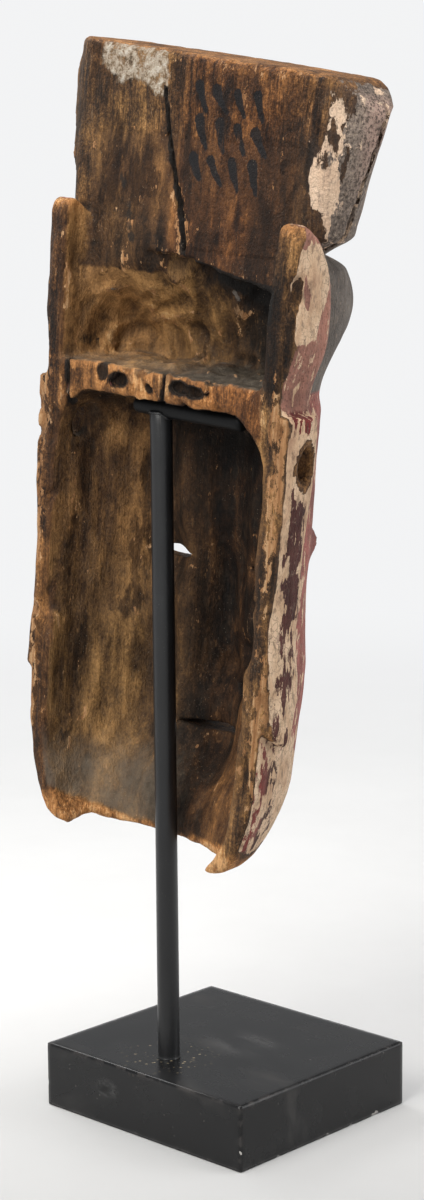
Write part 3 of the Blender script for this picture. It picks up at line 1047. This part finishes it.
    # plaster repair
    pd = n.add(n.attr("patch"), n.mul(n.add(n.noise(n.scale(loc, (15, 15, 10)), 1.0, 5.0, 0.68), -0.5), 17.0))
    pl = n.noise(n.shift(n.scale(loc, (22, 22, 22)), wig0, 0.7), 1.0, 4.5, 0.74)
    plast = n.ramp(pl, [(0.34, (0.12, 0.078, 0.046)), (0.45, (0.26, 0.192, 0.126)), (0.56, (0.43, 0.360, 0.280)), (0.70, (0.60, 0.55, 0.47))])
    pm = n.mul(n.step(pd, 1.2, -2.2), n.add(0.30, n.mul(n.step(pl, 0.40, 0.50), 0.66)))
    colr = n.mix(pm, colr, plast)
    # black brush strokes and blots
    idist = n.add(n.attr("ink"), n.mul(n.add(n.noise(n.scale(loc, (40, 40, 12)), 1.0, 3.0, 0.6), -0.5), 2.4))
    im = n.mul(n.step(idist, 0.30, -0.30), n.step(fib, 0.28, 0.40))
    colr = n.mix(n.mul(im, 0.95), colr, (0.0095, 0.0095, 0.0105))
    bd = n.add(n.attr("blot"), n.mul(n.add(n.noise(n.scale(loc, (30, 30, 20)), 1.0, 3.5, 0.65), -0.5), 6.0))
    colr = n.mix(n.mul(n.step(bd, 0.6, -1.2), 0.78), colr, (0.013, 0.012, 0.011))
    # burnt and stained places, dirt in corners, dust
    sd = n.add(n.attr("soot"), n.mul(n.add(n.noise(n.scale(loc, (24, 24, 14)), 1.0, 4.0, 0.65), -0.5), 0.8))
    colr = n.mix(n.mul(n.step(sd, 0.28, 0.55), 0.94), colr, (0.0085, 0.0070, 0.0060))
    colr = n.mix(n.mul(n.attr("cavity"), 0.40), colr, (0.012, 0.0085, 0.006))
    du = n.add(n.attr("dust"), n.mul(n.add(n.noise(n.scale(loc, (18, 18, 10)), 1.0, 4.0, 0.7), -0.5), 0.8))
    colr = n.mix(n.mul(n.step(du, 0.10, 0.95), 0.55), colr, (0.228, 0.184, 0.134))
    speckm = n.mul(n.step(n.cells(loc, 55.0), 0.17, 0.07), n.step(n.noise(n.scale(loc, (5, 5, 5))), 0.50, 0.60))
    colr = n.mix(n.mul(n.mul(speckm, n.attr("bare")), 0.42), colr, (0.34, 0.27, 0.20))
    # relief of the same things
    hgt = n.mul(gess, 0.70)
    hgt = n.add(hgt, n.mul(fib, n.mul(fb, 0.85)))
    hgt = n.add(hgt, n.mul(swirl, n.add(0.5, n.mul(fb, -0.45))))
    hgt = n.add(hgt, n.mul(hair, n.mul(fb, 0.40)))
    hgt = n.add(hgt, n.mul(grit, n.add(0.35, n.mul(fb, 0.35))))
    hgt = n.add(hgt, n.mul(n.mul(rub, wg), 0.9))
    hgt = n.add(hgt, n.mul(n.step(n.attr("patch"), 2.0, -2.0), n.mul(pl, 1.2)))
    nrm = n.bump(hgt, 0.0019, 1.0)
    rough = n.add(0.66, n.mul(n.add(fib, -0.5), 0.35))
    return n.finish(colr, rough, nrm, Specular_IOR_Level=0.20)


def metal_material(name, shade, shine):
    n = Net(name)
    p = n.obj()
    a = n.noise(n.scale(p, (240, 240, 16)), 1.0, 4.0, 0.6)
    b = n.noise(n.scale(p, (900, 900, 900)), 1.0, 3.0, 0.6)
    c = n.noise(n.scale(p, (60, 60, 30)), 1.0, 5.0, 0.65)
    colr = n.ramp(c, [(0.3, (0.0052, 0.0054, 0.0060)), (0.6, (0.0084, 0.0087, 0.0096)), (0.8, (0.016, 0.016, 0.0175))])
    scuff = n.mul(n.step(a, 0.63, 0.74), n.step(c, 0.45, 0.6))
    colr = n.mix(n.mul(scuff, 0.55), colr, (0.085, 0.078, 0.070))
    dust = n.step(b, 0.66, 0.74)
    colr = n.mix(n.mul(dust, 0.25), colr, (0.12, 0.11, 0.10))
    colr = n.mix(1.0, colr, (shade, shade, shade), "MULTIPLY")
    rough = n.add(0.26 + 0.2 * (1 - shade), n.mul(c, 0.22))
    nrm = n.bump(n.add(n.mul(a, 0.5), b), 0.00018, 0.6)
    return n.finish(colr, rough, nrm, Specular_IOR_Level=shine)


def block_material():
    n = Net("black_block")
    p = n.obj()
    soft = n.noise(n.scale(p, (26, 26, 26)), 1.0, 6.0, 0.62)
    fine = n.noise(n.scale(p, (700, 700, 700)), 1.0, 3.0, 0.6)
    smear = n.noise(n.shift(n.scale(p, (14, 38, 20)), n.noise(n.scale(p, (9, 9, 9)), 1.0, 2.0, color=True), 1.4), 1.0, 5.0, 0.6)
    colr = n.ramp(soft, [(0.3, (0.0060, 0.0060, 0.0064)), (0.55, (0.0085, 0.0085, 0.0090)), (0.8, (0.013, 0.013, 0.0135))])
    colr = n.mix(n.mul(n.step(smear, 0.56, 0.72), 0.28), colr, (0.075, 0.070, 0.066))
    dots = n.step(n.cells(p, 210.0), 0.12, 0.05)
    dots = n.mul(dots, n.step(n.noise(n.scale(p, (40, 40, 40))), 0.5, 0.62))
    colr = n.mix(n.mul(dots, 0.5), colr, (0.20, 0.185, 0.17))
    def about(x, y, z, r0, r1, squash=(1, 1, 1)):
        d = n.t.nodes.new("ShaderNodeVectorMath")
        d.operation = "SUBTRACT"
        n.set(d.inputs[0], p)
        d.inputs[1].default_value = (x, y, z)
        ln = n.t.nodes.new("ShaderNodeVectorMath")
        ln.operation = "LENGTH"
        n.set(ln.inputs[0], n.scale(d.outputs[0], squash))
        return n.step(ln.outputs["Value"], r1, r0)
    crumbs = n.mul(n.step(n.cells(p, 300.0), 0.30, 0.16), about(0.00706, 0.039, 0.0375, 0.010, 0.034))
    crumbs = n.mul(crumbs, n.step(n.noise(n.scale(p, (150, 150, 150))), 0.42, 0.52))
    colr = n.mix(n.mul(crumbs, 0.85), colr, (0.34, 0.27, 0.17))
    haze = n.mul(about(-0.012, -0.006, 0.0375, 0.004, 0.034, (0.8, 1.3, 1)), n.step(smear, 0.42, 0.66))
    colr = n.mix(n.mul(haze, 0.45), colr, (0.11, 0.108, 0.105))
    scuff = n.mul(about(0.027, 0.0693, 0.0218, 0.004, 0.0095, (0.85, 1, 1.35)), n.step(n.noise(n.scale(p, (260, 260, 420)), 1.0, 4.0, 0.65), 0.42, 0.62))
    colr = n.mix(n.mul(scuff, 0.42), colr, (0.085, 0.084, 0.082))
    dark = n.mul(about(0.0285, 0.0693, 0.0210, 0.002, 0.0055, (0.8, 1, 1.6)), 0.8)
    colr = n.mix(dark, colr, (0.003, 0.003, 0.003))
    chip = n.step(n.attr("chip"), 0.45, 0.6)
    colr = n.mix(chip, colr, (0.46, 0.44, 0.41))
    worn = n.mul(n.attr("worn"), n.step(n.noise(n.scale(p, (120, 120, 120)), 1.0, 4.0), 0.48, 0.6))
    colr = n.mix(n.mul(worn, 0.4), colr, (0.10, 0.09, 0.085))
    rough = n.add(n.add(0.17, n.mul(soft, 0.18)), n.mul(n.step(smear, 0.52, 0.70), 0.14))
    nrm = n.bump(n.add(n.mul(fine, 0.5), n.mul(soft, 0.6)), 0.00008, 0.4)
    return n.finish(colr, rough, nrm, Specular_IOR_Level=0.31)


WOOD, STEEL, BLOCK = carved_material(), metal_material("black_steel", 1.0, 0.5), block_material()
DULL = metal_material("sooty_steel", 0.45, 0.16)
me.materials.append(WOOD)
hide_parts("mask")
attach(mask_obj, "root")

# =====================================================================
# The stand
# =====================================================================


def new_object(name, verts, faces, mat, smooth=True):
    m_ = bpy.data.meshes.new(name)
    m_.from_pydata([tuple(p) for p in verts], [], [tuple(f) for f in faces])
    m_.validate()
    m_.update()
    m_.polygons.foreach_set("use_smooth", [smooth] * len(m_.polygons))
    m_.materials.append(mat)
    o = bpy.data.objects.new(name, m_)
    bpy.context.scene.collection.objects.link(o)
    return o


def lathe(profile, turns):
    """Closed body of revolution about Z from (radius, height) pairs; the ends close on the axis."""
    verts, faces = [], []
    for r, z in profile:
        for k in range(turns):
            a = 2 * math.pi * k / turns
            verts.append((r * math.cos(a), r * math.sin(a), z))
    m_ = len(profile)
    for i in range(m_ - 1):
        for k in range(turns):
            k2 = (k + 1) % turns
            faces.append((i * turns + k, i * turns + k2, (i + 1) * turns + k2, (i + 1) * turns + k))
    lo_, hi_ = len(verts), len(verts) + 1
    verts += [(0, 0, profile[0][1]), (0, 0, profile[-1][1])]
    for k in range(turns):
        k2 = (k + 1) % turns
        faces.append((lo_, k2, k))
        faces.append((hi_, (m_ - 1) * turns + k, (m_ - 1) * turns + k2))
    return np.array(verts), faces


ROD_X, ROD_Y, ROD_R = 7.06, 39.0, 6.2
BASE_X, BASE_Y, BASE_Z = 152.4, 138.75, 37.5
BAR_R, BAR_LEFT, BAR_RIGHT = 4.8, 31.0, -50.0
rod_local = TURN.T @ (np.array([ROD_X, ROD_Y, 405.0]) - PLACE)
bar_w = -SHELF_T - 0.3 - BAR_R
bar_mid = TURN @ np.array([rod_local[0], rod_local[1], bar_w]) + PLACE

# rod: straight into the block with a thin line of glue, worn upper end and the weld that holds the bar
prof = [(ROD_R + 0.45, BASE_Z + 0.05), (ROD_R + 0.40, BASE_Z + 0.25), (ROD_R + 0.2, BASE_Z + 0.6), (ROD_R + 0.05, BASE_Z + 1.4), (ROD_R, BASE_Z + 3.0)]
prof += [(ROD_R + 0.05 * math.sin(0.21 * k), BASE_Z + 3.0 + (bar_mid[2] - 3.0 - BASE_Z - 3.0) * k / 60) for k in range(1, 61)]
prof += [(ROD_R - 0.3, bar_mid[2] - 2.5), (ROD_R - 1.0, bar_mid[2] - 2.0)]
rv, rf = lathe(prof, 56)
ang = np.arctan2(rv[:, 1], rv[:, 0])
foot = np.clip((BASE_Z + 3 - rv[:, 2]) / 3, 0, 1)
rad = 1 + foot * 0.03 * np.sin(3 * ang + 0.7) * np.cos(2 * ang) + foot * 0.02 * np.sin(7 * ang)
rv[:, 0] = rv[:, 0] * rad + ROD_X
rv[:, 1] = rv[:, 1] * rad + ROD_Y
def bead(ring_pts, thick):
    """A lumpy bead of metal along a closed ring of points."""
    n_, k_ = len(ring_pts), 8
    verts, faces = [], []
    P = np.array(ring_pts)
    for i in range(n_):
        tan = P[(i + 1) % n_] - P[i - 1]
        tan /= np.linalg.norm(tan)
        side = np.cross(tan, [0, 0, 1.0])
        side /= np.linalg.norm(side)
        up = np.cross(side, tan)
        r_ = thick * (1 + 0.22 * math.sin(2.1 * i) + 0.12 * math.sin(5.3 * i))
        for k in range(k_):
            a = 2 * math.pi * k / k_
            verts.append(P[i] + r_ * (math.cos(a) * side + math.sin(a) * up))
    for i in range(n_):
        for k in range(k_):
            i2, k2 = (i + 1) % n_, (k + 1) % k_
            faces.append((i * k_ + k, i2 * k_ + k, i2 * k_ + k2, i * k_ + k2))
    return np.array(verts), faces


ring = []
for k in range(36):
    a = 2 * math.pi * k / 36
    x, y = ROD_X + ROD_R * math.cos(a), ROD_Y + ROD_R * 0.93 * math.sin(a)
    drop = math.sqrt(max(0.0, BAR_R ** 2 - min(abs(ROD_R * 0.93 * math.sin(a)), BAR_R) ** 2))
    ring.append((x, y, bar_mid[2] - max(drop, 2.2) - 0.2 + 0.0797 * (x - ROD_X)))
wv, wf = bead(ring, 0.85)
rf = rf + [tuple(i + len(rv) for i in f) for f in wf]
rv = np.concatenate([rv, wv])
rod_obj = new_object("stand_rod", rv * MM, rf, STEEL)
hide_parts("upright_rod")
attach(rod_obj, "root")

# bar: rounded ends, lying along the mask's own width
length = BAR_LEFT - BAR_RIGHT
prof = [(0.6, 0.0), (2.6, 0.25), (3.9, 0.9), (4.6, 1.9), (BAR_R, 3.2)]
prof += [(BAR_R + 0.04 * math.sin(1.3 * k), 3.2 + (length - 6.4) * k / 24) for k in range(1, 25)]
prof += [(r, length - z) for r, z in reversed([(0.6, 0.0), (2.6, 0.25), (3.9, 0.9), (4.6, 1.9)])]
bv, bf = lathe(prof, 40)
loc_b = np.stack([BAR_RIGHT + bv[:, 2], rod_local[1] + bv[:, 1], bar_w - bv[:, 0]], 1)
bar_obj = new_object("stand_bar", (loc_b @ TURN.T + PLACE) * MM, bf, DULL)
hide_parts("cross_bar")
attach(bar_obj, "root")

# base block: a fine-meshed box with softened arrises, nicks and a shallow dent
STEP = 2.2
nx_, ny_, nz_ = int(BASE_X / STEP), int(BASE_Y / STEP), int(BASE_Z / STEP)


def sheet_grid(origin, du_, dv_, a_n, b_n, base_i):
    pts = [origin + du_ * (i / a_n) + dv_ * (j / b_n) for i in range(a_n + 1) for j in range(b_n + 1)]
    fs = [(base_i + i * (b_n + 1) + j, base_i + (i + 1) * (b_n + 1) + j, base_i + (i + 1) * (b_n + 1) + j + 1, base_i + i * (b_n + 1) + j + 1)
          for i in range(a_n) for j in range(b_n)]
    return pts, fs


X, Y, Z = (np.array(a, float) for a in ((BASE_X, 0, 0), (0, BASE_Y, 0), (0, 0, BASE_Z)))
c0 = np.array([-BASE_X / 2, -BASE_Y / 2, 0.0])
pv, pf = [], []
for o, a, b, an, bn in ((c0 + Z, X, Y, nx_, ny_), (c0, Y, X, ny_, nx_), (c0, X, Z, nx_, nz_), (c0 + Y, Z, X, nz_, nx_), (c0, Z, Y, nz_, ny_), (c0 + X, Y, Z, ny_, nz_)):
    p, f = sheet_grid(o, a, b, an, bn, len(pv))
    pv += p
    pf += f
pv = np.array(pv)
half = np.array([BASE_X / 2, BASE_Y / 2, BASE_Z / 2])
mid = np.array([0, 0, BASE_Z / 2])
R_EDGE = 0.6
q = pv - mid
core = np.clip(q, -(half - R_EDGE), half - R_EDGE)
d = q - core
ln = np.linalg.norm(d, axis=1, keepdims=True)
rounded = core + d / np.maximum(ln, 1e-9) * R_EDGE
q = np.where(ln > 1e-6, rounded, q)
bx, by, bz = q.T
edge_d = np.sort(np.stack([half[k] - np.abs(q[:, k]) for k in range(3)], 1), 1)[:, 1]
nick = fbm(bx / 7, by / 7, bz / 7, 3, 61)
chip = np.zeros(len(q))
for (cx, cy, cz, r) in ((-76, -46, -18, 2.6), (-76, -43, -18.5, 2.0), (-76, -24, -18.5, 1.7), (-76, -3, -18.5, 1.5), (-76, 38, -18.5, 1.3), (-76, 69, -8, 1.4), (75, 69, -6, 1.4), (60, 69, 18, 1.2)):
    chip = np.maximum(chip, np.clip(1.2 - np.sqrt((bx - cx) ** 2 + (by - cy) ** 2 + (bz - cz) ** 2) / r, 0, 1))
worn = np.clip(1 - edge_d / 2.6, 0, 1)
inward = -q / np.maximum(np.linalg.norm(q / half, axis=1, keepdims=True), 1e-9) / half
inward /= np.linalg.norm(inward, axis=1, keepdims=True)
depth = 0.6 * chip + 0.10 * worn * np.clip(nick - 0.35, 0, 1)
dent = (1.0 * np.exp(-(((bx - 27) / 5.5) ** 2 + ((bz - 3) / 3.4) ** 2)) - 0.5 * np.exp(-(((bx - 27) / 8.5) ** 2 + ((bz - 3) / 6.0) ** 2))) * (by > BASE_Y / 2 - 1)
q = q + inward * depth[:, None]
q[:, 1] -= dent
base_obj = new_object("stand_block", (q + mid) * MM, pf, BLOCK)
bm = bmesh.new()
bm.from_mesh(base_obj.data)
lay_c = bm.verts.layers.float.new("chip")
lay_w = bm.verts.layers.float.new("worn")
for vert, c_, w_ in zip(bm.verts, chip, worn):
    vert[lay_c], vert[lay_w] = float(c_), float(w_)
bmesh.ops.remove_doubles(bm, verts=bm.verts, dist=0.00003)
bmesh.ops.recalc_face_normals(bm, faces=bm.faces)
bm.to_mesh(base_obj.data)
bm.free()
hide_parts("base_block")
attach(base_obj, "root")

# =====================================================================
# Pale studio sweep, soft light, camera at the photograph's angle
# =====================================================================
VIEW = np.array([0.6786, -0.7159, -0.1658])
away = np.array([VIEW[0], VIEW[1], 0]) / math.hypot(VIEW[0], VIEW[1])
right_dir = np.array([away[1], -away[0], 0])
left_dir = -right_dir
PALE = (0.895, 0.900, 0.908)

# a wide pale floor whose far part melts into the pale surround
sv, sf = [(0.0, 0.0, -0.0002)], []
rings = [0.25, 0.5, 0.8, 1.2, 1.8, 2.6, 4.0, 8.0, 20.0, 60.0]
for rr in rings:
    for k in range(48):
        sv.append((rr * math.cos(2 * math.pi * k / 48), rr * math.sin(2 * math.pi * k / 48), -0.0002))
for k in range(48):
    sf.append((0, 1 + k, 1 + (k + 1) % 48))
for i in range(len(rings) - 1):
    for k in range(48):
        a, b = 1 + i * 48 + k, 1 + i * 48 + (k + 1) % 48
        sf.append((a, a + 48, b + 48, b))
fl = Net("pale_floor")
pos = fl.obj()
ln_ = fl.t.nodes.new("ShaderNodeVectorMath")
ln_.operation = "LENGTH"
fl.set(ln_.inputs[0], pos)
far_f = fl.step(ln_.outputs["Value"], 0.34, 1.7)
mott = fl.noise(pos, 6.0, 4.0, 0.6)
dt = fl.t.nodes.new("ShaderNodeVectorMath")
dt.operation = "DOT_PRODUCT"
fl.set(dt.inputs[0], pos)
dt.inputs[1].default_value = tuple(float(x) for x in away)
slope_f = fl.step(dt.outputs["Value"], -0.5, 0.30)
near_c = fl.ramp(mott, [(0.3, (0.615, 0.612, 0.606)), (0.7, (0.645, 0.642, 0.636))])
near_c = fl.mix(slope_f, fl.mix(1.0, near_c, (0.59, 0.59, 0.59), "MULTIPLY"), fl.mix(1.0, near_c, (1.15, 1.15, 1.15), "MULTIPLY"))
fl.finish(fl.mix(far_f, near_c, (0.0, 0.0, 0.0)), 0.95, None, Specular_IOR_Level=0.0)
fl.set(fl.bsdf.inputs["Emission Color"], PALE)
fl.set(fl.bsdf.inputs["Emission Strength"], far_f)
floor = new_object("pale_floor", sv, sf, fl.mat)

world = bpy.data.worlds.new("studio") if not bpy.context.scene.world else bpy.context.scene.world
bpy.context.scene.world = world
world.use_nodes = True
wt = world.node_tree
bg = wt.nodes.get("Background") or wt.nodes.new("ShaderNodeBackground")
tc = wt.nodes.new("ShaderNodeTexCoord")
sep = wt.nodes.new("ShaderNodeSeparateXYZ")
wt.links.new(tc.outputs["Generated"], sep.inputs[0])
rmp = wt.nodes.new("ShaderNodeValToRGB")
el = rmp.color_ramp.elements
el[0].position, el[0].color = 0.10, (*PALE, 1)
el[1].position, el[1].color = 0.32, (0.30, 0.305, 0.31, 1)
wt.links.new(sep.outputs["Z"], rmp.inputs[0])
wt.links.new(rmp.outputs[0], bg.inputs[0])
bg.inputs[1].default_value = 1.0


def softbox(name, place, target, size, power, tint=(1, 1, 1)):
    li = bpy.data.lights.new(name, "AREA")
    li.shape = "RECTANGLE"
    li.size, li.size_y = size
    li.energy = power
    li.color = tint
    o = bpy.data.objects.new(name, li)
    bpy.context.scene.collection.objects.link(o)
    o.visible_camera = False
    o.location = place
    o.rotation_mode = "QUATERNION"
    o.rotation_quaternion = (Vector(target) - Vector(place)).to_track_quat("-Z", "Y")
    return o


cam_c = np.array([-0.93573, 0.99694, 0.52710])
target = (0.0, 0.02, 0.36)
softbox("key_left", tuple(-away * 1.4 + left_dir * 1.05 + np.array([0, 0, 1.55])), target, (1.1, 1.2), 31, (1.0, 0.985, 0.95))
softbox("fill_right", tuple(-away * 0.2 + right_dir * 1.9 + np.array([0, 0, 1.1])), target, (1.2, 1.6), 16, (0.99, 0.99, 1.0))
softbox("top", tuple(-away * 0.25 + left_dir * 0.2 + np.array([0, 0, 2.1])), (0.0, 0.0, 0.2), (1.7, 1.7), 32)
softbox("far_side", tuple(away * 1.5 + left_dir * 1.1 + np.array([0, 0, 1.9])), target, (0.8, 0.9), 14)

cam_d = bpy.data.cameras.new("camera")
cam_d.sensor_fit = "AUTO"
cam_d.sensor_width = 36.0
cam_d.lens = 2467.8 * 36.0 / 1200.0
cam = bpy.data.objects.new("camera", cam_d)
bpy.context.scene.collection.objects.link(cam)
yaw, pitch, roll = 2.3841, -0.1666, -0.0089
f_ = np.array([math.cos(pitch) * math.sin(yaw), math.cos(pitch) * math.cos(yaw), math.sin(pitch)])
r_ = np.cross(f_, [0, 0, 1.0])
r_ /= np.linalg.norm(r_)
u_ = np.cross(r_, f_)
c_, s_ = math.cos(roll), math.sin(roll)
r2, u2 = c_ * r_ + s_ * u_, -s_ * r_ + c_ * u_
M = Matrix(((r2[0], u2[0], -f_[0], cam_c[0]), (r2[1], u2[1], -f_[1], cam_c[1]), (r2[2], u2[2], -f_[2], cam_c[2]), (0, 0, 0, 1)))
cam.matrix_world = M
cam_d.clip_start, cam_d.clip_end = 0.05, 200
bpy.context.scene.camera = cam
bpy.context.scene.view_settings.view_transform = "Standard"

bpy.context.view_layer.update()
